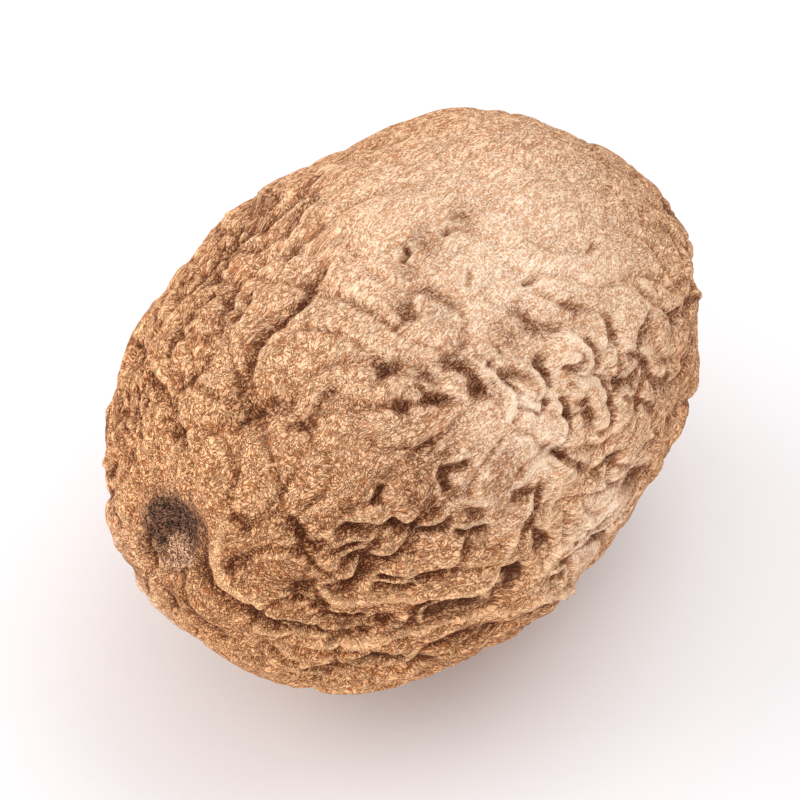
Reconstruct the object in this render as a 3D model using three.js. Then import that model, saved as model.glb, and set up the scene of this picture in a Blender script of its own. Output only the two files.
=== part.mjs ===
// A whole nutmeg: the dried kernel of the nutmeg tree's seed, one solid piece, lying on its side.
// Millimetres, +Z up. The long axis runs along X, with the hilum, the round stalk scar, near the
// -X end, and the chalaza, a small pit, at the +X end. It rests on a small flat spot at z = 0.
// The shell is an egg shape, pushed in and out along its normal by swells, folds and furrows.
import * as THREE from "three";
import { mergeVertices } from "three/addons/utils/BufferGeometryUtils.js";

// Driving dimensions.
const LENGTH = 28;
const WIDTH = 20;
const HEIGHT = 19.6;
const TAPER = 0.02; // how much fatter the chalaza end is than the middle, as a share
const FLAT_DEPTH = 0.22; // how much of the underside the resting spot takes off
const REST_REACH = 4.6; // round the resting spot the shell is smooth out to here
const SUBDIVISIONS = 22; // each edge of the starting icosahedron is cut this many times
const CLOSER = 0.2; // how much closer the corners are on the best side than on average

// Wrinkles that cover the shell: soft swelling, folds that run from end to end, and nodules.
const SWELLING = { size: 9, height: 0.3 };
const FOLDS = { across: 3.4, stretch: 2.6, height: 0.22 };
const NODULES = { size: 2.9, height: 0.18 };
const SMOOTH_REACH = 8.5; // the smooth patch on the upper side fades out over this distance

// The hilum is a nub in an oval dimple, and the chalaza a plain pit.
const HILUM = { right: -8.65, up: -5.9, nubRadius: 0.9, nubHeight: 0.65 };
const DIMPLE = { right: -9, up: -5, radius: 1.5, depth: 1.1 };
const CHALAZA = { radius: 1.1, depth: 0.6 };

// The best side is looked at from this way. Places on it are [right, up] of the middle, in mm.
const FACE_TURN = THREE.MathUtils.degToRad(-53);
const FACE_TILT = THREE.MathUtils.degToRad(45);
const SMOOTH_PATCH = [2.5, 9.5];

// Broad swells and hollows of the best side: where, how wide and how high.
const SWELLS = [
  { at: [-3, -10.8], reach: 3.2, height: -0.3 }, // heel under the folds
  { at: [-7.6, -9.9], reach: 3.2, height: -0.8 }, // flat between heel and hilum
  { at: [-10.9, -5.6], reach: 1.6, height: 0.35 }, // rim outside the dimple
  { at: [-6.9, -5.6], reach: 1.3, height: 0.25 }, // lip of the dimple on the other side
  { at: [-6.2, -5.2], reach: 1.8, height: 0.3 }, // shoulder beside the hilum
  { at: [8.2, -5.6], reach: 3.4, height: -0.55 }, // flat on the lower right
  { at: [5.8, -8.2], reach: 1.8, height: 0.35 }, // knuckle on the lower edge
  { at: [3.2, -1.2], reach: 2.2, height: 0.3 }, // large pale lobe
  { at: [0.8, -2.9], reach: 1.9, height: -0.3 }, // valley below it
  { at: [8.8, 9.6], reach: 4.5, height: 0.7 }, // full upper end
];

// Lobes, like scales that overlap. Each is highest at its lower right edge.
const LOBE_TILT = [0.75, -0.65];
const LOBES = [
  { at: [3.2, -1.2], reach: 1.9, height: 0.14 },
  { at: [4.9, -0.9], reach: 1.2, height: 0.26 },
  { at: [4.3, 0.1], reach: 0.75, height: 0.34 },
  { at: [0.4, 0.4], reach: 0.75, height: 0.26 },
  { at: [5.9, 1.9], reach: 0.95, height: 0.36 },
  { at: [7.2, -0.3], reach: 0.75, height: 0.3 },
  { at: [2.6, -3.4], reach: 0.9, height: 0.22 },
  { at: [2.3, -5.6], reach: 0.8, height: 0.2 },
  { at: [0.6, -5.8], reach: 0.95, height: 0.22 },
  { at: [-0.6, -5.5], reach: 0.8, height: 0.2 },
  { at: [-0.9, -3.9], reach: 0.9, height: 0.18 },
  { at: [-3.3, -4.4], reach: 0.9, height: 0.2 },
  { at: [-2.9, -6.4], reach: 0.8, height: 0.18 },
  { at: [-4.6, -5.6], reach: 0.9, height: 0.18 },
  { at: [-4.9, -7.2], reach: 0.8, height: 0.18 },
  { at: [-1.6, -7.6], reach: 1.1, height: 0.22 },
  { at: [2.6, -6.9], reach: 1.3, height: 0.18 },
];

// Dents: above the middle, between the nodules, and on the folded lower part.
const DENTS = [
  { at: [0.2, 3.5], reach: 0.6, depth: 0.28 },
  { at: [5, 2.9], reach: 0.6, depth: 0.2 },
  { at: [2.3, 1.5], reach: 0.65, depth: 0.36 },
  { at: [2.9, 0.55], reach: 0.6, depth: 0.4 },
  { at: [1.2, 0.85], reach: 0.6, depth: 0.3 },
  { at: [4.05, 0.85], reach: 0.6, depth: 0.4 },
  { at: [5.15, 1.4], reach: 0.6, depth: 0.35 },
  { at: [-0.4, 1.2], reach: 0.5, depth: 0.35 },
  { at: [1.6, -2.5], reach: 1.1, depth: 0.15 },
  { at: [3.9, -2.5], reach: 0.9, depth: 0.12 },
  { at: [1, -3.9], reach: 0.7, depth: 0.2 },
  { at: [-3.9, -7.4], reach: 0.6, depth: 0.3 },
  { at: [-6.3, -6.3], reach: 0.5, depth: 0.25 },
];

// Furrows of the best side, each along its points. The steep side is to the left of it.
const FURROWS = [
  // the long one that curves round from the hilum
  {
    path: [[-7.6, -4.9], [-7.6, -6], [-7.2, -7.1], [-6.2, -7.9], [-4.6, -8.7], [-3.2, -9.2], [-1.1, -9.3]],
    width: 0.4,
    depth: 0.32,
  },
  // on the heel and along the lower edge
  { path: [[-3.1, -10.5], [-2.4, -10.35], [-0.7, -10.1], [1.4, -10.05]], width: 0.5, depth: 0.6 },
  { path: [[0.05, -9.2], [0.5, -8.8], [0.9, -8.3], [1.4, -8]], width: 0.45, depth: 0.55 },
  { path: [[1.6, -8.3], [2.4, -8], [3.3, -7.5], [3.8, -7], [4.9, -6.7]], width: 0.5, depth: 0.75 },
  { path: [[1.2, -9.6], [2.6, -9.2], [4.4, -8.5], [6, -7.8]], width: 0.4, depth: 0.4 },
  // in the folded middle
  { path: [[-2.3, -4.9], [-1.5, -4.7], [-0.8, -4.75], [0.3, -4.85]], width: 0.4, depth: 0.22 },
  { path: [[-2.6, -7.1], [-1.6, -6.9], [-1.2, -6.1], [-0.3, -6], [0.3, -5.5], [0.6, -4.8]], width: 0.4, depth: 0.2 },
  { path: [[0.9, -5.1], [1.7, -4.9], [2.4, -4.1], [3, -4.1]], width: 0.4, depth: 0.22 },
  // on the right
  { path: [[5.9, -1.8], [6.4, -2], [6.9, -2.5]], width: 0.45, depth: 0.3 },
  { path: [[5.3, -3.4], [5.3, -4], [5.25, -4.7], [5.7, -5.5]], width: 0.4, depth: 0.3 },
  { path: [[7.5, -2.6], [7.8, -2.3], [8.4, -2]], width: 0.4, depth: 0.3 },
];

// The raphe, a shallow furrow on the far side from the hilum end to the chalaza, as directions.
const RAPHE = {
  path: [[-0.9, 0.3, -0.1], [-0.5, 0.75, -0.4], [0.1, 0.8, -0.5], [0.6, 0.7, -0.35], [0.9, 0.3, -0.1]],
  width: 0.6,
  depth: 0.4,
};

const right = new THREE.Vector3(Math.cos(FACE_TURN), Math.sin(FACE_TURN), 0);
const toward = new THREE.Vector3(
  Math.sin(FACE_TURN) * Math.cos(FACE_TILT),
  -Math.cos(FACE_TURN) * Math.cos(FACE_TILT),
  Math.sin(FACE_TILT),
);
const up = new THREE.Vector3().crossVectors(toward, right);
const radii = new THREE.Vector3(LENGTH / 2, WIDTH / 2, HEIGHT / 2);

// The smooth egg shape's point in a direction from the middle.
function onEgg(direction) {
  const girth = 1 + TAPER * direction.x;
  const point = direction.clone().multiply(radii);
  return point.multiply(new THREE.Vector3(1, girth, girth));
}

// The egg shape's point under a place on the best side.
function onFace([rightOf, upOf]) {
  const across = right.clone().multiplyScalar(rightOf).addScaledVector(up, upOf);
  const start = across.clone().divide(radii);
  const step = toward.clone().divide(radii);
  const a = step.lengthSq();
  const b = start.dot(step);
  const c = start.lengthSq() - 1;
  const reach = (Math.sqrt(Math.max(0, b * b - a * c)) - b) / a;
  return onEgg(start.addScaledVector(step, reach).normalize());
}

const smoothstep = THREE.MathUtils.smoothstep;

// A hump that is 1 at its middle and fades out over its reach.
function hump(distance, reach) {
  return Math.exp(-((distance / reach) ** 2));
}

// Random numbers from 0 to 1 that repeat with the seed.
function seededRandom(seed) {
  let state = seed;
  return () => {
    state = (Math.imul(state, 1664525) + 1013904223) >>> 0;
    return state / 4294967296;
  };
}

// A smooth random field over space, about -1 to 1: waves of about one size in seeded directions.
function waveField(size, seed) {
  const count = 18;
  const random = seededRandom(seed);
  const waves = [];
  for (let i = 0; i < count; i++) {
    const height = 2 * random() - 1;
    const turn = 2 * Math.PI * random();
    const flat = Math.sqrt(1 - height * height);
    const rate = ((2 * Math.PI) / size) * (0.7 + 0.6 * random());
    waves.push({
      vector: new THREE.Vector3(flat * Math.cos(turn), flat * Math.sin(turn), height).multiplyScalar(rate),
      phase: 2 * Math.PI * random(),
    });
  }
  return (p) => waves.reduce((sum, w) => sum + Math.sin(w.vector.dot(p) + w.phase), 0) / Math.sqrt(count);
}

const swelling = waveField(SWELLING.size, 11);
const foldField = waveField(FOLDS.across, 23);
const noduleField = waveField(NODULES.size, 37);
const bend = [waveField(7, 41), waveField(7, 43), waveField(7, 47)];

// Rounded tops with narrow valleys between them, about -1 to 0.3.
function puffed(value) {
  return 0.3 - 1.3 * Math.max(0, 1 - Math.abs(value) / 0.75) ** 2;
}

const smoothAt = onFace(SMOOTH_PATCH);
const hilumAt = onFace([HILUM.right, HILUM.up]);
const dimpleAt = onFace([DIMPLE.right, DIMPLE.up]);
const chalazaAt = onEgg(new THREE.Vector3(1, 0.12, 0.1).normalize());
const restAt = onEgg(new THREE.Vector3(0, 0, -1));
const swells = SWELLS.map((s) => ({ ...s, at: onFace(s.at) }));
const lobes = LOBES.map((l) => ({ ...l, at: onFace(l.at) }));
const lobeTilt = right.clone().multiplyScalar(LOBE_TILT[0]).addScaledVector(up, LOBE_TILT[1]);
const dents = DENTS.map((d) => ({ ...d, at: onFace(d.at) }));

function furrow(points, { width, depth }) {
  const line = new THREE.CatmullRomCurve3(points).getPoints(6 * points.length);
  return { line, width, depth };
}

const furrows = FURROWS.map((f) => furrow(f.path.map(onFace), f));
furrows.push(furrow(RAPHE.path.map((way) => onEgg(new THREE.Vector3(...way).normalize())), RAPHE));

// The height that the lobes add at a point: a flat top that slopes, with a steep edge all round.
function lobeHeight(point) {
  let height = 0;
  for (const { at, reach, height: top } of lobes) {
    const offset = point.clone().sub(at);
    const slope = 0.6 + 0.5 * THREE.MathUtils.clamp(offset.dot(lobeTilt) / reach, -1, 1);
    height += top * slope * Math.exp(-((offset.length() / reach) ** 5));
  }
  return height;
}

// The depth that the furrows take off at a point: each is deepest along its line, and falls away
// steeply on the left of it and gently on the right, for someone who goes along it.
function furrowDepth(point, outward) {
  const segment = new THREE.Line3();
  const nearest = new THREE.Vector3();
  const left = new THREE.Vector3();
  let depth = 0;
  for (const { line, width, depth: deepest } of furrows) {
    let closest = Infinity;
    let side = 0;
    for (let i = 1; i < line.length; i++) {
      segment.set(line[i - 1], line[i]).closestPointToPoint(point, true, nearest);
      const distance = nearest.distanceTo(point);
      if (distance >= closest) continue;
      closest = distance;
      left.subVectors(line[i], line[i - 1]).normalize();
      left.crossVectors(outward, left);
      side = nearest.subVectors(point, nearest).dot(left) / Math.max(distance, 1e-6);
    }
    const flank = width * (1.25 - 0.65 * side);
    depth = Math.max(depth, deepest * Math.exp(-((closest / flank) ** 1.3)));
  }
  return depth;
}

// How far the shell stands off the egg shape at a point in a direction from the middle.
function relief(direction, point, outward) {
  const bent = bend.map((field) => 0.9 * field(point));
  const p = point.clone().add(new THREE.Vector3(...bent));
  const around = Math.atan2(direction.z, direction.y);
  const radius = (WIDTH + HEIGHT) / 4;
  const alongFolds = new THREE.Vector3(
    p.x / FOLDS.stretch,
    radius * Math.cos(around) + bent[1],
    radius * Math.sin(around) + bent[2],
  );
  const offAxis = Math.hypot(direction.y, direction.z);
  const rough = 1 - 0.85 * hump(point.distanceTo(smoothAt), SMOOTH_REACH);
  let height = SWELLING.height * swelling(point);
  height += rough * FOLDS.height * smoothstep(offAxis, 0.25, 0.7) * puffed(foldField(alongFolds));
  height += rough * NODULES.height * puffed(noduleField(p));
  for (const { at, reach, height: top } of swells) height += top * hump(point.distanceTo(at), reach);
  for (const { at, reach, depth } of dents) height -= depth * hump(point.distanceTo(at), reach);
  height += lobeHeight(point) - furrowDepth(point, outward);
  height -= DIMPLE.depth * hump(point.distanceTo(dimpleAt), DIMPLE.radius);
  height += HILUM.nubHeight * hump(point.distanceTo(hilumAt), HILUM.nubRadius);
  height -= CHALAZA.depth * hump(point.distanceTo(chalazaAt), CHALAZA.radius);
  return height * smoothstep(point.distanceTo(restAt), 0.35 * REST_REACH, REST_REACH);
}

// A fine ball of triangles, each corner moved out to the shell, then set down on its flat spot.
function shellGeometry() {
  const ball = new THREE.IcosahedronGeometry(1, SUBDIVISIONS);
  ball.deleteAttribute("normal");
  ball.deleteAttribute("uv");
  const geometry = mergeVertices(ball, 1e-5);
  const corners = geometry.getAttribute("position");
  const direction = new THREE.Vector3();
  const floor = -HEIGHT / 2 + FLAT_DEPTH;
  for (let i = 0; i < corners.count; i++) {
    direction.fromBufferAttribute(corners, i).addScaledVector(toward, CLOSER).normalize();
    const point = onEgg(direction);
    const outward = direction.clone().divide(radii).normalize();
    const moved = point.clone().addScaledVector(outward, relief(direction, point, outward));
    corners.setXYZ(i, moved.x, moved.y, Math.max(moved.z, floor));
  }
  geometry.computeBoundingBox();
  const middle = geometry.boundingBox.getCenter(new THREE.Vector3());
  geometry.translate(-middle.x, -middle.y, -floor);
  geometry.computeVertexNormals();
  return geometry;
}

const shell = new THREE.MeshStandardMaterial({ color: 0xc79a74, roughness: 0.85, metalness: 0 });
const nutmeg = new THREE.Mesh(shellGeometry(), shell);
nutmeg.name = "nutmeg";

const group = new THREE.Group();
group.add(nutmeg);
export default group;
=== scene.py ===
import math

import bmesh
import bpy
import numpy as np
from mathutils import Matrix, Vector


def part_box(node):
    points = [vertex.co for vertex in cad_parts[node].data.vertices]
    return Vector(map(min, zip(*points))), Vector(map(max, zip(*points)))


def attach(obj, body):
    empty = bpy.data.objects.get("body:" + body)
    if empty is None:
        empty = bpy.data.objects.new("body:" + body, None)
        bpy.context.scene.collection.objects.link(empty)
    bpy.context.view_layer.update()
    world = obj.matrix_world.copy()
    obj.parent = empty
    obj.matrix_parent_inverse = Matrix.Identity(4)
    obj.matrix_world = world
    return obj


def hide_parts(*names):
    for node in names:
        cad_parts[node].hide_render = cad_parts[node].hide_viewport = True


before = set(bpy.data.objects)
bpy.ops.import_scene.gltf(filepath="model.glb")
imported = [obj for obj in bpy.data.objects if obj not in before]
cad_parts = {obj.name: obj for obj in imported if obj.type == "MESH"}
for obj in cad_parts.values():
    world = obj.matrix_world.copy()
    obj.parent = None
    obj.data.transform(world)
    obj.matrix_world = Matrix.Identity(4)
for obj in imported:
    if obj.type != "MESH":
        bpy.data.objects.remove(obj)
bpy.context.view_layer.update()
MM = 0.001


# The nutmeg. It is the dried kernel of a seed, in one piece. It shrank as it dried, so its skin
# lies in folds and furrows that run out from the hilum, the stalk scar. It is matt, brown in the
# hollows and pale on the high places. Its shape is worked out in millimetres about its middle.

EGG_RADII = np.array([14.0, 10.0, 9.8])
TAPER = 0.02  # how much fatter the far end is than the middle, as a share
FLAT_DEPTH = 0.22  # how much of the underside the resting spot takes off
BALL_CUTS = 127  # cuts across each side of the cube that is blown up into the ball
CLOSER = 0.25  # how much closer its corners are on the best side than on average

# The best side is seen from over the hilum end. Places on it are (right, up) of its middle.
SIGHT_TURN = math.radians(-53)
SIGHT_TILT = math.radians(45)

sight_right = Vector((math.cos(SIGHT_TURN), math.sin(SIGHT_TURN), 0))
sight_ahead = Vector((-math.sin(SIGHT_TURN), math.cos(SIGHT_TURN), 0))
sight_back = Vector((0, 0, 1)) * math.sin(SIGHT_TILT) - sight_ahead * math.cos(SIGHT_TILT)
sight_up = sight_back.cross(sight_right)


def on_egg(directions):
    """The smooth egg's points in these directions from its middle."""
    girth = 1 + TAPER * directions[..., :1]
    return directions * EGG_RADII * np.concatenate([np.ones_like(girth), girth, girth], axis=-1)


def on_face(place):
    """The egg's point under a place (right, up) of its middle as the camera sees it."""
    across = place[0] * np.array(sight_right) + place[1] * np.array(sight_up)
    start = across / EGG_RADII
    step = np.array(sight_back) / EGG_RADII
    along = step @ step
    half = start @ step
    root = math.sqrt(max(0, half * half - along * (start @ start - 1)))
    hit = start + step * (root - half) / along
    return on_egg(hit / np.linalg.norm(hit))


# A cube with many cuts is blown up into a ball and stretched into the egg. Its corners are drawn
# a little towards the best side.
ball = bmesh.new()
bmesh.ops.create_cube(ball, size=2)
bmesh.ops.subdivide_edges(ball, edges=ball.edges[:], cuts=BALL_CUTS, use_grid_fill=True)
for face in ball.faces:
    face.smooth = True
shell_mesh = bpy.data.meshes.new("nutmeg_shell")
ball.to_mesh(shell_mesh)
ball.free()

corners = np.empty(3 * len(shell_mesh.vertices))
shell_mesh.vertices.foreach_get("co", corners)
directions = np.tan(corners.reshape(-1, 3) * math.pi / 4)
directions /= np.linalg.norm(directions, axis=1, keepdims=True)
directions += CLOSER * np.array(sight_back)
directions /= np.linalg.norm(directions, axis=1, keepdims=True)
egg = on_egg(directions)
outward = directions / EGG_RADII
outward /= np.linalg.norm(outward, axis=1, keepdims=True)


def from_place(place):
    """How far each corner of the egg is from this point."""
    return np.linalg.norm(egg - place, axis=1)


def hump(distance, reach):
    """A hump that is 1 at its middle and fades out over its reach."""
    return np.exp(-((distance / reach) ** 2))


def smoothstep(value, start, end):
    """0 up to the start value, 1 from the end value on, and a soft step between them."""
    share = np.clip((value - start) / (end - start), 0, 1)
    return share * share * (3 - 2 * share)


def wave_field(points, size, seed):
    """A smooth random field over space, about -1 to 1: waves of about one size."""
    count = 18
    state = seed
    draws = []
    for _ in range(4 * count):
        state = (state * 1664525 + 1013904223) % 2**32
        draws.append(state / 2**32)
    height, turn, rate, phase = np.array(draws).reshape(count, 4).T
    height = 2 * height - 1
    turn = 2 * math.pi * turn
    flat = np.sqrt(1 - height * height)
    rate = 2 * math.pi / size * (0.7 + 0.6 * rate)
    waves = np.stack([flat * np.cos(turn), flat * np.sin(turn), height]) * rate
    return np.sin(points @ waves + 2 * math.pi * phase).sum(axis=1) / math.sqrt(count)


def three_fields(size, seeds):
    """A random push in space for each corner of the egg."""
    return np.stack([wave_field(egg, size, seed) for seed in seeds], axis=1)


def puffed(value):
    """Rounded tops with narrow valleys between them, about -1 to 0.3."""
    return 0.3 - 1.3 * np.maximum(0, 1 - np.abs(value) / 0.75) ** 2


# The main forms: soft swelling, folds from end to end, nodules, broad swells and hollows, and the
# two ends. The folds and nodules are bent, and fade out on a smooth patch.
SWELLING = {"size": 9, "height": 0.3, "seed": 11}
FOLDS = {"across": 3.4, "stretch": 2.6, "height": 0.22, "seed": 23}
NODULES = {"size": 2.9, "height": 0.18, "seed": 37}
BENDING = {"size": 7, "push": 0.9, "seeds": (41, 43, 47)}
SMOOTH_PATCH = {"at": (2.5, 9.5), "reach": 8.5, "share": 0.85}
HILUM = {"at": (-8.65, -5.9), "reach": 0.9, "height": 0.65}
DIMPLE = {"at": (-9, -5), "reach": 1.5, "depth": 1.1}
CHALAZA = {"way": (1, 0.12, 0.1), "reach": 1.1, "depth": 0.6}

# Broad swells and hollows: where, how wide and how high.
SWELLS = [
    ((-3, -10.8), 3.2, -0.3),
    ((-7.6, -9.9), 3.2, -0.8),
    ((-10.9, -5.6), 1.6, 0.35),
    ((-6.9, -5.6), 1.3, 0.15),
    ((8.2, -5.6), 3.4, -0.55),
    ((5.8, -8.2), 1.8, 0.35),
    ((3.2, -1.2), 2.2, 0.3),
    ((0.8, -2.9), 1.9, -0.3),
    ((-6.2, -5.2), 1.8, 0.2),
    ((1.5, 11.2), 3.5, 0.05),
    ((8.8, 9.6), 4.5, 0.7),
    ((-8, -7.6), 0.9, 0.08),
]

smooth_patch = hump(from_place(on_face(SMOOTH_PATCH["at"])), SMOOTH_PATCH["reach"])
rough = 1 - SMOOTH_PATCH["share"] * smooth_patch
bent = BENDING["push"] * three_fields(BENDING["size"], BENDING["seeds"])
around = np.arctan2(directions[:, 2], directions[:, 1])
girth_radius = (EGG_RADII[1] + EGG_RADII[2]) / 2
round_girth = girth_radius * np.stack([np.cos(around), np.sin(around)], axis=1)
along_folds = np.column_stack([(egg + bent)[:, 0] / FOLDS["stretch"], round_girth + bent[:, 1:]])
off_axis = np.hypot(directions[:, 1], directions[:, 2])
fold_height = FOLDS["height"] * smoothstep(off_axis, 0.25, 0.7)

forms = SWELLING["height"] * wave_field(egg, SWELLING["size"], SWELLING["seed"])
folds = puffed(wave_field(along_folds, FOLDS["across"], FOLDS["seed"]))
nodules = puffed(wave_field(egg + bent, NODULES["size"], NODULES["seed"]))
forms += rough * fold_height * folds
forms += rough * NODULES["height"] * nodules
for place, reach, height in SWELLS:
    forms += height * hump(from_place(on_face(place)), reach)
hilum_at = on_face(HILUM["at"])
chalaza_at = on_egg(np.array(CHALAZA["way"]) / np.linalg.norm(CHALAZA["way"]))
forms -= DIMPLE["depth"] * hump(from_place(on_face(DIMPLE["at"])), DIMPLE["reach"])
forms += HILUM["height"] * hump(from_place(hilum_at), HILUM["reach"])
forms -= CHALAZA["depth"] * hump(from_place(chalaza_at), CHALAZA["reach"])

# Lobes, like scales that overlap: where, how wide and how high. Each is highest at its lower
# right edge.
LOBES = [
    ((3.2, -1.2), 1.9, 0.14),
    ((4.9, -0.9), 1.2, 0.26),
    ((4.3, 0.1), 0.75, 0.34),
    ((3.3, 0), 0.6, 0.28),
    ((2, 0.62), 0.6, 0.34),
    ((0.4, 0.4), 0.75, 0.26),
    ((5.9, 1.9), 0.95, 0.36),
    ((6.5, 0.5), 0.5, 0.24),
    ((7.2, -0.3), 0.75, 0.3),
    ((6.3, -2.6), 0.7, 0.2),
    ((2.9, -3.2), 0.8, 0.26),
    ((2.3, -4.7), 0.55, 0.2),
    ((1.8, -5.7), 0.85, 0.28),
    ((0, -6.5), 0.85, 0.26),
    ((-0.9, -5.3), 0.75, 0.24),
    ((-0.9, -3.9), 0.9, 0.22),
    ((-2.8, -4.5), 0.85, 0.26),
    ((-2.4, -6.7), 0.85, 0.24),
    ((-4.6, -5.6), 0.9, 0.22),
    ((-4.9, -7.2), 0.8, 0.22),
    ((-1.6, -7.9), 0.9, 0.24),
    ((-6.6, -6.6), 0.7, 0.14),
    ((2.6, -6.9), 1.3, 0.18),
    ((4.4, -5), 0.6, 0.2),
    ((5.9, -5.4), 0.55, 0.2),
    ((7, -3.9), 0.6, 0.2),
]
LOBE_TILT = (0.75, -0.65)

# Brown dents: where, how wide and how deep.
DENTS = [
    # on the smooth upper part
    ((2.3, 7.2), 0.5, 0.1),
    ((0.9, 6), 0.6, 0.08),
    ((0.2, 5), 0.4, 0.08),
    ((0.2, 3.5), 0.5, 0.28),
    ((1.3, 3.9), 0.5, 0.1),
    ((4.2, 2.4), 0.6, 0.14),
    ((5, 2.9), 0.5, 0.2),
    ((5.7, 2.8), 0.4, 0.16),
    ((6.7, 3.4), 0.6, 0.12),
    ((7.9, 2.6), 0.4, 0.2),
    # between the nodules
    ((2.3, 1.5), 0.65, 0.36),
    ((2.9, 0.55), 0.45, 0.4),
    ((0.95, 0.75), 0.35, 0.25),
    ((1.5, 0), 0.3, 0.3),
    ((3.45, 1.2), 0.2, 0.3),
    ((4.05, 0.85), 0.4, 0.45),
    ((5.15, 1.4), 0.36, 0.4),
    ((-0.4, 1.2), 0.5, 0.35),
    ((0.15, -0.2), 0.35, 0.3),
    ((7.1, -0.6), 0.28, 0.2),
    # on the folded lower part
    ((1.6, -2.5), 1.1, 0.15),
    ((3.9, -2.5), 0.9, 0.12),
    ((-3.9, -7.4), 0.6, 0.3),
    ((-6.3, -6.3), 0.5, 0.25),
    ((-6, -4.3), 0.35, 0.25),
    ((4.7, -3.6), 0.35, 0.25),
    ((1, -3.9), 0.7, 0.2),
    ((-1.2, -5.6), 0.6, 0.15),
    ((2.6, -4.6), 0.45, 0.15),
]
# How strongly and how widely each dent is browned about it: partly its own colour, partly painted
# shade.
DENT_BROWN = {"share": 0.85, "spread": 1.45}

# Furrows of the best side: width, depth, and their line. The steep side is to the left of it.
FURROWS = [
    # long ones that run from the hilum under the best side, and short ones round the hilum
    (0.28, 0.24, [
        (-7.6, -4.9), (-7.6, -6), (-7.2, -7.1), (-6.2, -7.9), (-4.6, -8.7), (-3.2, -9.2),
        (-1.1, -9.3),
    ]),
    (0.3, 0.14, [(-8.4, -6.6), (-8.3, -7.5), (-7.8, -8.4), (-6.8, -9.1)]),
    (0.3, 0.18, [(-8.9, -7.3), (-8.7, -8.2)]),
    (0.24, 0.16, [(-9.9, -6.9), (-9.7, -7.8), (-9.2, -8.6)]),
    (0.2, 0.26, [(-9.95, -5), (-10, -5.7), (-9.7, -6.4)]),
    (0.15, 0.24, [(-8.4, -5.7), (-8.8, -5.4), (-9.3, -5.5)]),
    (0.22, 0.26, [(-5.7, -8), (-5, -8.5), (-4.3, -9)]),
    (0.18, 0.42, [(-4.9, -8.5), (-4.3, -8.7), (-3.6, -8.95)]),
    (0.2, 0.5, [(-4.6, -9.85), (-4.2, -10.05), (-3.7, -10.2)]),
    (0.16, 0.38, [(-2.3, -8.45), (-1.7, -8.6), (-1.2, -8.7)]),
    (0.5, 0.48, [(-3.2, -10.7), (-2.4, -10.55), (-0.7, -10.25), (1.4, -10.1)]),
    (0.25, 0.19, [(-3, -7.6), (-2.6, -8.3), (-2, -8.55), (-1.4, -8.6)]),
    (0.3, 0.23, [(-1, -8.9), (0.2, -8.75)]),
    (0.36, 0.38, [(0.05, -9.2), (0.5, -8.8), (0.9, -8.3), (1.4, -8)]),
    (0.5, 0.51, [(1.6, -8.3), (2.4, -8), (3.3, -7.5), (3.8, -7), (4.5, -6.7)]),
    (0.35, 0.26, [(1.2, -9.6), (2.6, -9.2), (4.4, -8.5), (6, -7.8)]),
    (0.2, 0.36, [(6.05, -6.95), (6.4, -6.8)]),
    # the folded middle
    (0.2, 0.36, [
        (-2.3, -4.9), (-2, -4.75), (-1.5, -4.7), (-0.8, -4.75), (-0.3, -4.7), (0.3, -4.85),
    ]),
    (0.22, 0.32, [(-1.2, -6.1), (-0.3, -6), (0.3, -5.5), (0.6, -4.8)]),
    (0.22, 0.3, [(-2.6, -7.1), (-1.6, -6.9), (-1.2, -6.1)]),
    (0.2, 0.34, [(0.9, -5.1), (1.7, -4.9), (2.1, -4.4), (2.4, -4.1), (3, -4.1)]),
    (0.18, 0.32, [(2.2, -4.95), (3.3, -4.95)]),
    (0.22, 0.28, [(0.8, -6.9), (1.8, -6.6), (2.3, -6.2), (2.5, -5.4)]),
    (0.18, 0.34, [(-0.7, -7.25), (0, -7.2), (0.6, -7.3)]),
    (0.16, 0.36, [(-0.5, -6.9), (0.1, -6.85)]),
    (0.18, 0.34, [(-0.9, -3.6), (-0.5, -3.3)]),
    (0.17, 0.4, [(-2.45, -5.7), (-2, -5.65), (-1.5, -5.45)]),
    (0.16, 0.38, [(-2, -6.05), (-1.4, -5.85)]),
    (0.22, 0.3, [(1.7, -3.4), (1.7, -2.7), (2.4, -2.4)]),
    (0.24, 0.28, [(-4, -4.6), (-3.4, -5.3), (-2.8, -5.4)]),
    # the wormlike folds on the right
    (0.28, 0.23, [(5.9, -1.8), (6.4, -2), (6.9, -2.5)]),
    (0.22, 0.26, [(5.3, -3.4), (5.3, -4), (5.25, -4.7)]),
    (0.3, 0.26, [(4.4, -3.5), (5, -3.6)]),
    (0.28, 0.23, [(5.4, -4.9), (5.7, -5.5)]),
    (0.22, 0.23, [(6.4, -6), (6.9, -5.5), (7.4, -5)]),
    (0.25, 0.26, [(7.5, -2.6), (7.8, -2.3), (8.4, -2)]),
    # the nodules above the middle
    (0.28, 0.19, [(0.8, 0.2), (1.3, 0), (1.9, 0)]),
    (0.3, 0.22, [(2.2, 1.5), (2.8, 1), (3.1, 0.4), (3.5, 0)]),
    (0.16, 0.19, [(6, 1.1), (6.4, 1.2), (6.8, 1.45)]),
    (0.14, 0.22, [(6.3, 0.65), (6.8, 0.75), (7.1, 0.95)]),
    (0.17, 0.22, [(6.2, 0.1), (6.3, -0.7), (6.1, -1.6), (5.6, -2)]),
    (0.16, 0.22, [(3.6, 0.6), (4.2, 0.3), (4.4, -0.3), (4.1, -0.85)]),
    (0.16, 0.25, [(5.3, 1.15), (5.55, 0.55), (5.4, -0.05), (5, -0.45), (4.5, -0.45)]),
    (0.16, 0.2, [(6.9, 2.3), (7.35, 1.8), (7.45, 1.3), (7.1, 0.7)]),
    (0.16, 0.2, [(7, 0.75), (7.7, 0.5), (8.1, -0.3), (7.9, -1.1), (7.4, -1.3)]),
    (0.18, 0.19, [(6.9, 0), (7.15, -0.5), (7.1, -0.85)]),
]

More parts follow.
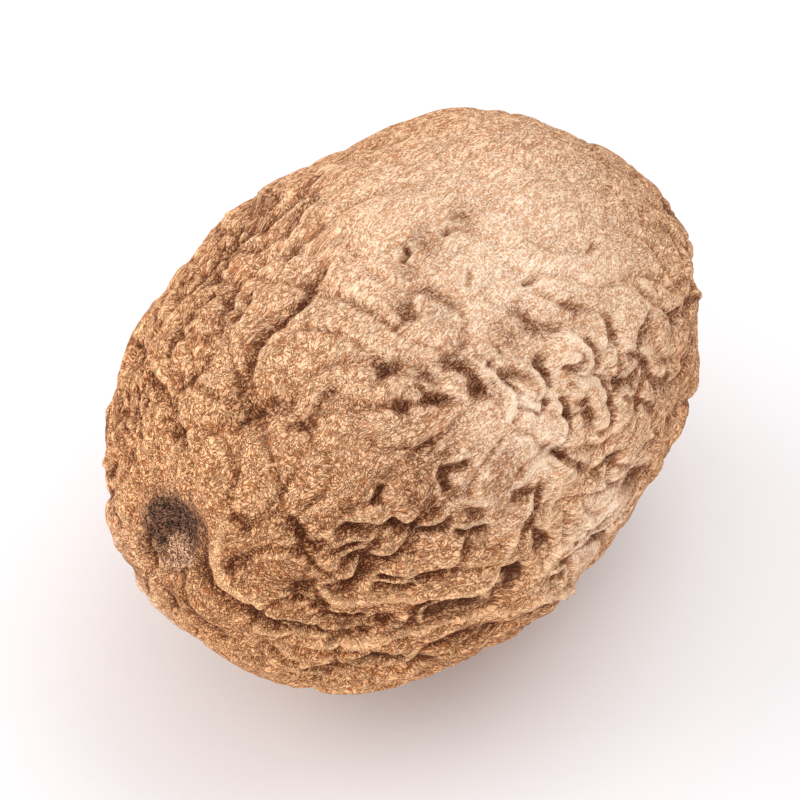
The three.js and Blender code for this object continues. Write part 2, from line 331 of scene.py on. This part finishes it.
# The raphe, a groove low on the far side that joins the two ends: width, depth, and the ways from
# the nutmeg's middle to its points.
RAPHE = {
    "width": 0.6,
    "depth": 0.4,
    "ways": [
        (-0.9, 0.3, -0.1),
        (-0.5, 0.75, -0.4),
        (0.1, 0.8, -0.5),
        (0.6, 0.7, -0.35),
        (0.9, 0.3, -0.1),
    ],
}

# Thin ridges: width, height and line.
RIDGES = [
    (0.18, 0.3, [
        (-3.6, -9.7), (-2, -9.8), (-0.6, -9.6), (0.6, -9.2), (1.6, -8.9), (3, -8.5), (5, -7.9),
        (6.9, -7.1),
    ]),
    (0.17, 0.28, [
        (0.4, -7.9), (1.5, -7.85), (2.3, -7.6), (3.2, -7.1), (3.8, -6.5), (4.6, -5.4), (5.1, -4.2),
    ]),
    (0.17, 0.28, [(5.5, -6.9), (6.2, -6), (7.1, -5.4), (7.4, -4.8)]),
    (0.16, 0.2, [(4.7, -3), (5.2, -2.6), (5.8, -3), (5.9, -4), (5.6, -4.8)]),
    (0.14, 0.16, [(4.2, -3.6), (4.3, -4.6), (4.9, -4.8), (5, -3.9)]),
    (0.16, 0.14, [(5.1, -2.7), (5.8, -2.2), (6.6, -2.8)]),
    (0.14, 0.14, [(7.1, -4.8), (7, -5.6), (6.3, -6.2), (5.9, -7)]),
    (0.2, 0.06, [(-6.9, -5), (-7.1, -6.2), (-6.5, -7.2), (-5.3, -8)]),
    (0.14, 0.12, [(-2.8, -7.4), (-2.4, -7.9), (-1.2, -8.1), (0.2, -8)]),
    (0.14, 0.12, [(-5.4, -8.9), (-4, -9.4), (-2.6, -9.5)]),
    (0.14, 0.16, [(3.4, 1), (3.8, 0.5), (4.1, 0), (4.1, -0.4), (3.9, -0.7)]),
    (0.15, 0.2, [(4.9, 1.1), (5.25, 0.5), (5.15, 0), (4.9, -0.3), (4.4, -0.2)]),
    (0.16, 0.16, [(5.4, 0.3), (5.85, -0.1), (6.05, -0.8), (6, -1.5), (5.7, -2)]),
    (0.16, 0.14, [(6.2, 2.4), (6.9, 1.9), (7.15, 1.3), (6.9, 0.85)]),
    (0.16, 0.14, [(6.6, 0.6), (7.4, 0.4), (7.8, -0.3), (7.7, -0.9), (7.2, -0.95)]),
]

# Slits, short and narrow, on the smooth upper part: where they start and end.
SLITS = [
    ((1.7, 6.4), (2, 6.8)),
    ((4.8, 4.5), (5.2, 4.7)),
    ((7, 5.6), (7.5, 6)),
    ((6.9, 9.6), (7.6, 9.8)),
    ((2.6, 4.6), (2.8, 4.9)),
    ((0.1, 5.4), (0.4, 5.8)),
    ((3, 9.3), (3.5, 9.5)),
]
SLIT = {"width": 0.14, "depth": 0.28, "reach": 0.6}

# Elsewhere furrows and lobes like these are scattered. Their measures go with their size.
SCATTERING = {"tries": 760, "smallest": 0.5, "largest": 1.15, "seed": 17}
SCATTERED_LOBE = {"reach": 0.95, "height": 0.11}
SCATTERED_FURROW = {"width": 0.28, "depth": 0.22, "stride": 0.8}

# Few of them start within reach of these places, and none in the bare ones.
UNSCATTERED = [
    ((2.5, -3), 8.2),
    ((-6, -9), 6.5),
    ((3.5, 7.5), 7.5),
    ((-9, -5.3), 5.5),
    ((-10, -9), 5),
    ((0, -11.5), 4),
]
BARE = [((2.5, 11.3), 4), ((7.5, 9.3), 4)]

# Folds lean over their lower side, away from this (right, up), by a share of their height.
LEAN = (0.5, 0.85)
LEAN_SHARE = 0.18

lean = LEAN[0] * np.array(sight_right) + LEAN[1] * np.array(sight_up)
lobe_tilt = LOBE_TILT[0] * np.array(sight_right) + LOBE_TILT[1] * np.array(sight_up)
lobes = [(on_face(place), reach, height) for place, reach, height in LOBES]
furrows = [(width, depth, [on_face(p) for p in places]) for width, depth, places in FURROWS]

open_place = np.ones(len(egg))
for place, reach in UNSCATTERED:
    open_place *= smoothstep(from_place(on_face(place)), 0.7 * reach, 1.1 * reach)
bare = np.zeros(len(egg), dtype=bool)
for place, reach in BARE:
    bare |= from_place(on_face(place)) < reach
random = np.random.default_rng(SCATTERING["seed"])


def wandering_line(spot, size):
    """The points of a line that wanders over the egg from this spot.

    It runs away from the hilum or towards it, whichever turns a furrow's steep side up."""
    knots = [spot]
    wander = 1.2 * random.random() - 0.6
    for _ in range(random.integers(2, 6)):
        out = spot / EGG_RADII**2
        out /= np.linalg.norm(out)
        away = spot - hilum_at
        away -= out * (away @ out)
        away /= np.linalg.norm(away)
        if np.cross(out, away) @ lean < 0:
            away = -away
        wander += 0.8 * random.random() - 0.4
        way = math.cos(wander) * away + math.sin(wander) * np.cross(out, away)
        inside = (spot + SCATTERED_FURROW["stride"] * size * way) / EGG_RADII
        spot = on_egg(inside / np.linalg.norm(inside))
        knots.append(spot)
    return knots


for _ in range(SCATTERING["tries"]):
    pick = random.integers(len(egg))
    growth = SCATTERING["largest"] - SCATTERING["smallest"]
    size = SCATTERING["smallest"] + growth * random.random()
    if open_place[pick] < random.random():
        continue
    if random.random() < 0.5:
        if not bare[pick]:
            reach, height = SCATTERED_LOBE["reach"] * size, SCATTERED_LOBE["height"] * size
            lobes.append((egg[pick], reach, height))
        continue
    knots = wandering_line(egg[pick], size)
    if not bare[pick]:
        width, depth = SCATTERED_FURROW["width"] * size, SCATTERED_FURROW["depth"] * size
        furrows.append((width, depth, knots))
raphe = [on_egg(np.array(way) / np.linalg.norm(way)) for way in RAPHE["ways"]]
furrows.append((RAPHE["width"], RAPHE["depth"], raphe))


def smooth_line(knots):
    """A curve through these points, as close points."""
    knots = [2 * knots[0] - knots[1], *knots, 2 * knots[-1] - knots[-2]]
    line = []
    for before, start, end, after in zip(knots, knots[1:], knots[2:], knots[3:]):
        for share in np.arange(0, 1, 0.2):
            bend = (2 * before - 5 * start + 4 * end - after) * share**2
            bend += (3 * start - before - 3 * end + after) * share**3
            line.append(start + 0.5 * ((end - before) * share + bend))
    return np.array([*line, knots[-2]])


def beside(points, line, reach):
    """Which points are within reach of a line, how far they are, and on which side.

    The side is 1 straight to the left of the line as it runs, -1 straight to the right of it."""
    low, high = line.min(axis=0) - reach, line.max(axis=0) + reach
    near = np.flatnonzero(((points > low) & (points < high)).all(axis=1))
    closest = np.full(len(near), np.inf)
    side = np.zeros(len(near))
    for start, end in zip(line, line[1:]):
        step = end - start
        left = np.cross(outward[near], step / np.linalg.norm(step))
        offset = points[near] - start
        share = np.clip(offset @ step / (step @ step), 0, 1)
        offset -= share[:, None] * step
        away = np.linalg.norm(offset, axis=1)
        leftness = (offset * left).sum(axis=1) / np.maximum(away, 1e-6)
        side = np.where(away < closest, leftness, side)
        closest = np.minimum(closest, away)
    return near, closest, side


# The lobes, dents, furrows, ridges and slits are laid on the egg. Their lines waver. A furrow's
# sides, its lip on the steep side and the brown about it, partly its own colour and partly painted
# shade, are so many of its widths wide.
WAVERS = [
    {"size": 2.2, "push": 0.12, "seeds": (53, 59, 61)},
    {"size": 0.8, "push": 0.03, "seeds": (67, 71, 73)},
]
GENTLE_SIDE = 1.9
STEEP_SIDE = 0.6
LIP = {"from": 1.3, "width": 0.8, "height": 0.28}  # its height is a share of the furrow's depth
FURROW_BROWN = {"gentle": 2.1, "steep": 0.9}
UNSTEADINESS = {"size": 1.6, "seed": 79, "least": 0.5, "most": 1.3}

wavy = egg.copy()
for waver in WAVERS:
    wavy += waver["push"] * three_fields(waver["size"], waver["seeds"])
brown = np.zeros(len(egg))
cut = np.zeros(len(egg))
lips = np.zeros(len(egg))
calm = np.ones(len(egg))

for place, reach, height in lobes:
    offset = wavy - place
    away = np.linalg.norm(offset, axis=1)
    slope = 0.6 + 0.5 * np.clip(offset @ lobe_tilt / reach, -1, 1)
    forms += height * slope * np.exp(-((away / reach) ** 4))
for place, reach, depth in DENTS:
    away = np.linalg.norm(wavy - on_face(place), axis=1)
    forms -= depth * hump(away, reach)
    brown = np.maximum(brown, DENT_BROWN["share"] * hump(away, DENT_BROWN["spread"] * reach))
for width, depth, knots in furrows:
    near, away, side = beside(wavy, smooth_line(knots), 6 * width)
    steepness = (1 + side) / 2
    flank = width * (GENTLE_SIDE + (STEEP_SIDE - GENTLE_SIDE) * steepness)
    cut[near] = np.maximum(cut[near], depth * np.exp(-((away / flank) ** 1.3)))
    lip = hump(away - LIP["from"] * width, LIP["width"] * width)
    lips[near] = np.maximum(lips[near], LIP["height"] * depth * steepness * lip)
    skirt = FURROW_BROWN["gentle"] + (FURROW_BROWN["steep"] - FURROW_BROWN["gentle"]) * steepness
    brown[near] = np.maximum(brown[near], hump(away, skirt * width))
for width, height, places in RIDGES:
    near, away, side = beside(wavy, smooth_line([on_face(p) for p in places]), 4 * width)
    lips[near] = np.maximum(lips[near], height * hump(away, width))
    calm[near] = np.minimum(calm[near], 1 - 0.7 * hump(away, 2 * width))
for start, end in SLITS:
    near, away, side = beside(wavy, np.array([on_face(start), on_face(end)]), SLIT["reach"])
    cut[near] = np.maximum(cut[near], SLIT["depth"] * hump(away, SLIT["width"]))

# Furrows come and go in depth.
depth_share = 0.95 + 0.3 * wave_field(egg, UNSTEADINESS["size"], UNSTEADINESS["seed"])
cut *= np.clip(depth_share, UNSTEADINESS["least"], UNSTEADINESS["most"])

# Small folds all over the shell, which run out from the hilum: how far apart, how much longer
# than wide, and how high.
WRINKLES = [
    {"apart": 2.6, "stretch": 2.4, "height": 0.06, "seed": 83},
    {"apart": 1.5, "stretch": 1.9, "height": 0.06, "seed": 89},
    {"apart": 0.8, "stretch": 1.6, "height": 0.05, "seed": 97},
]
WRINKLE_BENDS = [(2.2, 0.35), (0.7, 0.12)]  # size and push of their bends, in spacings
PATCH_SIZE = 3.5  # they are stronger and weaker in patches of this size

# Where they are lower: the place, its reach and by what share.
CALM_PLACES = [
    ((-6.5, -7), 5, 0.4),
    ((-10.8, -6.5), 4, 0.9),
    ((2.5, -9.5), 3.5, 0.5),
    ((3, -1.3), 2, 0.6),
    ((0.5, -5.6), 4.5, 0.5),
    ((4, 11), 6, 0.7),
]

hilum_way = hilum_at / np.linalg.norm(hilum_at)
off_hilum = directions - np.outer(directions @ hilum_way, hilum_way)
from_hilum = np.linalg.norm(off_hilum, axis=1)
along = EGG_RADII[0] * np.arccos(np.clip(directions @ hilum_way, -1, 1))
fan = off_hilum / np.maximum(from_hilum, 1e-6)[:, None] * girth_radius * from_hilum[:, None] ** 0.7
fine = np.zeros(len(egg))
for wrinkle in WRINKLES:
    stretched = fan + np.outer(along / wrinkle["stretch"], hilum_way)
    for size, strength in WRINKLE_BENDS:
        seeds = [wrinkle["seed"] + turn for turn in (1, 2, 3)]
        warp = three_fields(size * wrinkle["apart"], seeds)
        stretched += strength * wrinkle["apart"] * warp
    wrinkles = puffed(wave_field(stretched, wrinkle["apart"], wrinkle["seed"]))
    patchy = np.clip(0.8 + 0.7 * wave_field(egg, PATCH_SIZE, wrinkle["seed"] + 4), 0.1, 1.7)
    fine += wrinkle["height"] * patchy * wrinkles

# They are lower on the smooth patch, about ridges, at the hilum and on the far side too.
fine *= (0.06 + 0.94 * rough) * calm * smoothstep(from_hilum, 0.15, 0.5)
for place, reach, share in CALM_PLACES:
    fine *= 1 - share * hump(from_place(on_face(place)), reach)
fine *= 0.5 + 0.5 * smoothstep(outward @ np.array(sight_back), 0.15, 0.5)

# The shell: the egg with all of these on it, smooth round the resting spot and flat on it. It
# stands where the part's own nutmeg does.
REST_REACH = {"even": 1.61, "smooth": 4.6}

rest_at = on_egg(np.array([0, 0, -1.0]))
rest_fade = smoothstep(from_place(rest_at), REST_REACH["even"], REST_REACH["smooth"])
height = (forms + lips - cut + fine) * rest_fade
shell = egg + outward * height[:, None]
lean_over = lean - outward * (outward @ lean)[:, None]
shell -= lean_over * (LEAN_SHARE * (fine + lips - cut) * rest_fade)[:, None]
floor_height = -EGG_RADII[2] + FLAT_DEPTH
shell[:, 2] = np.maximum(shell[:, 2], floor_height)
shell_low, shell_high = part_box("nutmeg")
set_down = -(shell.min(axis=0) + shell.max(axis=0)) / 2
set_down[2] = -floor_height
egg_middle = (shell_low + shell_high) / 2 + Vector(set_down) * MM
egg_middle.z = shell_low.z + set_down[2] * MM
shell = shell * MM + egg_middle
shell_mesh.vertices.foreach_set("co", shell.ravel())

ends = np.empty(2 * len(shell_mesh.edges), dtype=np.int32)
shell_mesh.edges.foreach_get("vertices", ends)
ends = ends.reshape(-1, 2)
neighbours = np.bincount(ends.ravel(), minlength=len(egg))


def spread(values, rounds):
    """Values evened out with those of their neighbours, round after round."""
    for _ in range(rounds):
        total = np.bincount(ends[:, 0], values[ends[:, 1]], len(values))
        total += np.bincount(ends[:, 1], values[ends[:, 0]], len(values))
        values = 0.5 * values + 0.5 * total / neighbours
    return values


def keep(name, values, kind="FLOAT", holds="value"):
    """Stores a value or a place for each corner, for the finish to read."""
    layer = shell_mesh.attributes.new(name, kind, "POINT")
    layer.data.foreach_set(holds, values.astype(np.float32).ravel())


# What the finish reads at each corner. The hollow and the edge tell how far it lies below and above
# its surroundings, and the patches tell where the skin is dusty with painted light on it, where a
# painted shade lies, where the scar is with painted shade in its dimple, and where the nub is pale.
# Pale patches, partly dust and partly painted light: the top, lit from above, the lobes and folds
# on the right, and the left rim, where a painted rim light lies. Where, how wide and how strongly.
DUST_AND_LIGHT_PATCHES = [
    ((4.5, 5), 9.1, 1),
    ((4.3, -1.4), 4, 1),
    ((8.2, -4.6), 3.6, 1),
    ((-11, -7), 2.8, 0.9),
]
# A patch of painted shade over the darker middle and lower left.
PAINTED_SHADE_PATCH = {"at": (-3, -6.2), "reach": 4.2}
# The scar in the dimple, where its near-black is painted shade.
SCAR = {"at": (-9.2, -4.9), "reach": 1.8}
NUB_FACE = {"at": (-8.95, -6), "reach": 0.95, "widening": 0.45}
GRAIN_STRETCH = 2.5  # how much longer than wide the grain is

keep("hollow", spread(height, 60) - height)
keep("edge", height - spread(height, 8))
keep("crevice", cut)
keep("brown", brown)
keep("ridge", 1 - calm)
dust_and_light = [share * hump(from_place(on_face(at)), reach) for at, reach, share in DUST_AND_LIGHT_PATCHES]
keep("dusty_and_lit", np.maximum.reduce(dust_and_light))
keep("painted_shade", hump(from_place(on_face(PAINTED_SHADE_PATCH["at"])), PAINTED_SHADE_PATCH["reach"]))
keep("scar", hump(np.linalg.norm(wavy - on_face(SCAR["at"]), axis=1), SCAR["reach"]))
off_nub = wavy - on_face(NUB_FACE["at"])
off_nub -= NUB_FACE["widening"] * np.outer(off_nub @ np.array(sight_right), sight_right)
keep("nub", hump(np.linalg.norm(off_nub, axis=1), NUB_FACE["reach"]))

# A place for each corner, for grain that runs out from the hilum. The distance from the hilum is
# squeezed in it, so that grain read there comes out stretched that way.
squeezed = off_hilum * girth_radius + np.outer(along / GRAIN_STRETCH, hilum_way) + wavy - egg
keep("flow", squeezed * MM, "FLOAT_VECTOR", "vector")


class Wire:
    """A socket of a finish. Sums on wires add Math nodes, and node() adds any other node."""

    def __init__(self, tree, socket):
        self.tree = tree
        self.socket = socket

    def node(self, kind, settings, sockets, output=0):
        """Adds a node, gives it its settings, then the values or wires of its sockets."""
        made = self.tree.nodes.new(kind)
        for name, value in settings.items():
            setattr(made, name, value)
        for name, value in sockets.items():
            if isinstance(value, Wire):
                self.tree.links.new(value.socket, made.inputs[name])
            else:
                made.inputs[name].default_value = value
        return Wire(self.tree, made.outputs[output])

    def math(self, operation, first, second):
        return self.node("ShaderNodeMath", {"operation": operation}, {0: first, 1: second})

    def __add__(self, other):
        return self.math("ADD", self, other)

    def __sub__(self, other):
        return self.math("SUBTRACT", self, other)

    def __rsub__(self, other):
        return self.math("SUBTRACT", other, self)

    def __mul__(self, other):
        return self.math("MULTIPLY", self, other)

    def __abs__(self):
        return self.math("ABSOLUTE", self, 0)

    __radd__ = __add__
    __rmul__ = __mul__

    def ramp(self, start, end):
        """0 up to the start value, 1 from the end value on, and a soft step between them."""
        sockets = {"Value": self, "From Min": start, "From Max": end}
        return self.node("ShaderNodeMapRange", {"interpolation_type": "SMOOTHSTEP"}, sockets)

    def blend(self, low, high):
        """The low colour where this is 0 and the high one where it is 1."""
        return self.node("ShaderNodeMix", {"data_type": "RGBA"}, {0: self, 6: low, 7: high}, 2)


def colour(red, green, blue):
    """A display colour, 0 to 255, as the linear one that a shader takes."""
    shares = [level / 255 for level in (red, green, blue)]
    return [*(s / 12.92 if s <= 0.04045 else ((s + 0.055) / 1.055) ** 2.4 for s in shares), 1]


# The dust colours also paint light on the top, the right and the left rim.
DUST_AND_LIGHT_CREAM = colour(253, 228, 200)
DUST_AND_LIGHT_TAN = colour(214, 163, 122)
SKIN_CREAM = colour(252, 195, 141)
SKIN_TAN = colour(180, 110, 62)
SKIN_RUST = colour(146, 84, 44)
SKIN_BROWN = colour(92, 46, 22)
# Painted shade for the bottoms of the furrows and slits.
FURROW_SHADE_DARK = colour(84, 44, 24)
SCAR_SHADE_BLACK = colour(40, 26, 18)
SCAR_BROWN = colour(134, 94, 72)
NUB_BROWN = colour(118, 76, 52)
NUB_PALE = colour(228, 178, 140)
BUMP_DEPTH = 0.15 * MM

skin = bpy.data.materials.new("nutmeg_skin")
skin.use_nodes = True
shader = skin.node_tree.nodes["Principled BSDF"]
skin_nodes = Wire(skin.node_tree, None)
object_place = skin_nodes.node("ShaderNodeTexCoord", {}, {}, "Object")


def kept(name, output="Fac"):
    """What keep() stored under this name."""
    return skin_nodes.node("ShaderNodeAttribute", {"attribute_name": name}, {}, output)


def noise(size, detail, distortion, where=object_place):
    """Soft random blotches of about this size in millimetres, 0 to 1."""
    scale = 1 / (size * MM)
    sockets = {"Vector": where, "Scale": scale, "Detail": detail, "Distortion": distortion}
    return skin_nodes.node("ShaderNodeTexNoise", {}, sockets)


flow_place = kept("flow", "Vector")


def curly_lines(size, width):
    """Thin curly lines that run out from the hilum, 1 along their middles and 0 between them."""
    return 1 - abs(noise(size, 1.0, 1.2, flow_place) - 0.5).ramp(0, width)


hollow, crevice, brown_place, edge = kept("hollow"), kept("crevice"), kept("brown"), kept("edge")
dusty_and_lit, painted_shade, ridge = kept("dusty_and_lit"), kept("painted_shade"), kept("ridge")
scar, nub = kept("scar"), kept("nub")
plain = 1 - dusty_and_lit

grain = noise(0.085, 1.0, 0.3)
clumps = noise(0.55, 2.0, 0.5)
blotches = noise(4.5, 3.0, 0.5)
streaks = noise(0.14, 2.0, 0.8, flow_place)
fibres = curly_lines(0.2, 0.1)
cracks = curly_lines(0.3, 0.07)

# The skin is made of pale grains with thin dark lines between them, softer and paler where it is
# dusty and where light is painted on.
cream = dusty_and_lit.blend(SKIN_CREAM, DUST_AND_LIGHT_CREAM)
tan = dusty_and_lit.blend(SKIN_TAN, DUST_AND_LIGHT_TAN)
fuzz = grain * 0.6 + streaks * 0.4 + (0.4 - fibres) * plain * 0.35
speckle = (fuzz + (clumps - 0.5) * (0.04 + plain * 0.2)).ramp(0.41, 0.6)

# It is brown in hollows, dents and furrows, partly its own colour and partly painted shade, and in
# blotches. A patch of painted shade browns the middle and lower left, and painted shade makes it
# darkest down in the furrows.
brown_share = hollow.ramp(-0.04, 0.16) * 0.4 + blotches.ramp(0.42, 0.75) * 0.12
brown_share = brown_share + brown_place * 0.65 + painted_shade * 0.3 + plain * 0.1
body = (speckle * 0.95 + dusty_and_lit * 0.1 - brown_share * 0.45).blend(tan, cream)
body = (brown_share * (0.75 - speckle * 0.4)).blend(body, SKIN_RUST)
body = ((brown_share - 0.45) * (1.2 - speckle * 0.8)).blend(body, SKIN_BROWN)
body = (cracks * (brown_share + plain * 0.4) * 0.75).blend(body, SKIN_BROWN)
# Painted shade: the bottoms of the furrows and slits are darkened towards a dark brown.
body = (crevice.ramp(0.15, 0.42) * 0.8).blend(body, FURROW_SHADE_DARK)

# It is pale along edges and ridges. The dimple is painted nearly black, as shade over the scar's
# own brown, and the hilum's nub in it pale.
body = (edge.ramp(0.01, 0.05) * (0.35 + speckle * 0.35)).blend(body, cream)
body = (ridge.ramp(0.35, 0.65) * (0.5 + speckle * 0.4)).blend(body, cream)
frayed = (streaks - 0.5) * 0.6
# Painted shade: the dimple nearly black, speckled with the scar's own brown.
body = (scar + frayed).ramp(0.15, 0.75).blend(body, speckle.blend(SCAR_SHADE_BLACK, SCAR_BROWN))
body = (nub + frayed).ramp(0.45, 0.75).blend(body, speckle.blend(NUB_BROWN, NUB_PALE))
skin.node_tree.links.new(body.socket, shader.inputs["Base Color"])

lumps = grain * 0.3 - (fibres * 0.7 + cracks) * (0.1 + plain * 0.35)
bump_sockets = {"Strength": 1, "Distance": BUMP_DEPTH, "Height": lumps}
bump = skin_nodes.node("ShaderNodeBump", {}, bump_sockets)
skin.node_tree.links.new(bump.socket, shader.inputs["Normal"])
shader.inputs["Roughness"].default_value = 0.9
shader.inputs["Specular IOR Level"].default_value = 0.15

shell_mesh.materials.append(skin)
nutmeg = bpy.data.objects.new("nutmeg_shell", shell_mesh)
bpy.context.scene.collection.objects.link(nutmeg)
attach(nutmeg, "root")
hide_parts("nutmeg")


# The table top: plain, matt and nearly white. The nutmeg lies on it, and it is no part of the
# object. It is wide, so that its edge stays out of low views.

TABLE_WIDTH = 3.0
TABLE_WHITE = colour(236, 234, 234)

table = bmesh.new()
bmesh.ops.create_grid(table, size=TABLE_WIDTH / 2)
table_mesh = bpy.data.meshes.new("table_top")
table.to_mesh(table_mesh)
table.free()
paint = bpy.data.materials.new("table_paint")
paint.use_nodes = True
paint_shader = paint.node_tree.nodes["Principled BSDF"]
paint_shader.inputs["Base Color"].default_value = TABLE_WHITE
paint_shader.inputs["Roughness"].default_value = 0.6
table_mesh.materials.append(paint)
table_top = bpy.data.objects.new("table_top", table_mesh)
table_top.location.z = shell_low.z
bpy.context.scene.collection.objects.link(table_top)


# The studio: pale surroundings and three wide soft lamps. The main one is above the nutmeg,
# behind it and to the right, so that the hilum end is in shade and a soft shadow lies towards the
# camera. One brightens the left rim, and one the folds that face the camera.

LAMP_WIDTH = 400
SURROUNDINGS_WHITE = colour(246, 246, 250)
SURROUNDINGS_STRENGTH = 0.86


def soft_light(name, ahead, right, up, power):
    """A square lamp that many millimetres from the nutmeg, pointed at it, of so many watts."""
    lamp = bpy.data.lights.new(name, "AREA")
    lamp.size = LAMP_WIDTH * MM
    lamp.energy = power
    away = (sight_ahead * ahead + sight_right * right + Vector((0, 0, up))) * MM
    holder = bpy.data.objects.new(name, lamp)
    holder.location = egg_middle + away
    holder.rotation_euler = away.to_track_quat("Z", "Y").to_euler()
    bpy.context.scene.collection.objects.link(holder)


soft_light("key", ahead=150, right=170, up=330, power=0.65)
soft_light("rim", ahead=60, right=-360, up=90, power=1.5)
soft_light("fill", ahead=-370, right=-60, up=70, power=0.95)

surroundings = bpy.data.worlds.new("studio")
surroundings.use_nodes = True
backdrop = surroundings.node_tree.nodes["Background"]
backdrop.inputs["Color"].default_value = SURROUNDINGS_WHITE
backdrop.inputs["Strength"].default_value = SURROUNDINGS_STRENGTH
bpy.context.scene.world = surroundings
bpy.context.scene.view_settings.view_transform = "Standard"


# The camera looks down on the best side, over the hilum end. Its lens is long, as for small goods
# on a table, so that the near end doesn't look swollen.

LENS = 300
NEAREST = 10 * MM  # nothing closer than this is drawn
FRAME_WIDTH = 31.5 * MM  # what the picture takes in at the nutmeg's middle

lens = bpy.data.cameras.new("camera")
lens.lens = LENS
lens.clip_start = NEAREST
camera = bpy.data.objects.new("camera", lens)
axes = Matrix((sight_right, sight_up, sight_back)).transposed()
camera_distance = FRAME_WIDTH * LENS / lens.sensor_width
camera_at = egg_middle + sight_back * camera_distance
camera.matrix_world = Matrix.Translation(camera_at) @ axes.to_4x4()
bpy.context.scene.collection.objects.link(camera)
bpy.context.scene.camera = camera
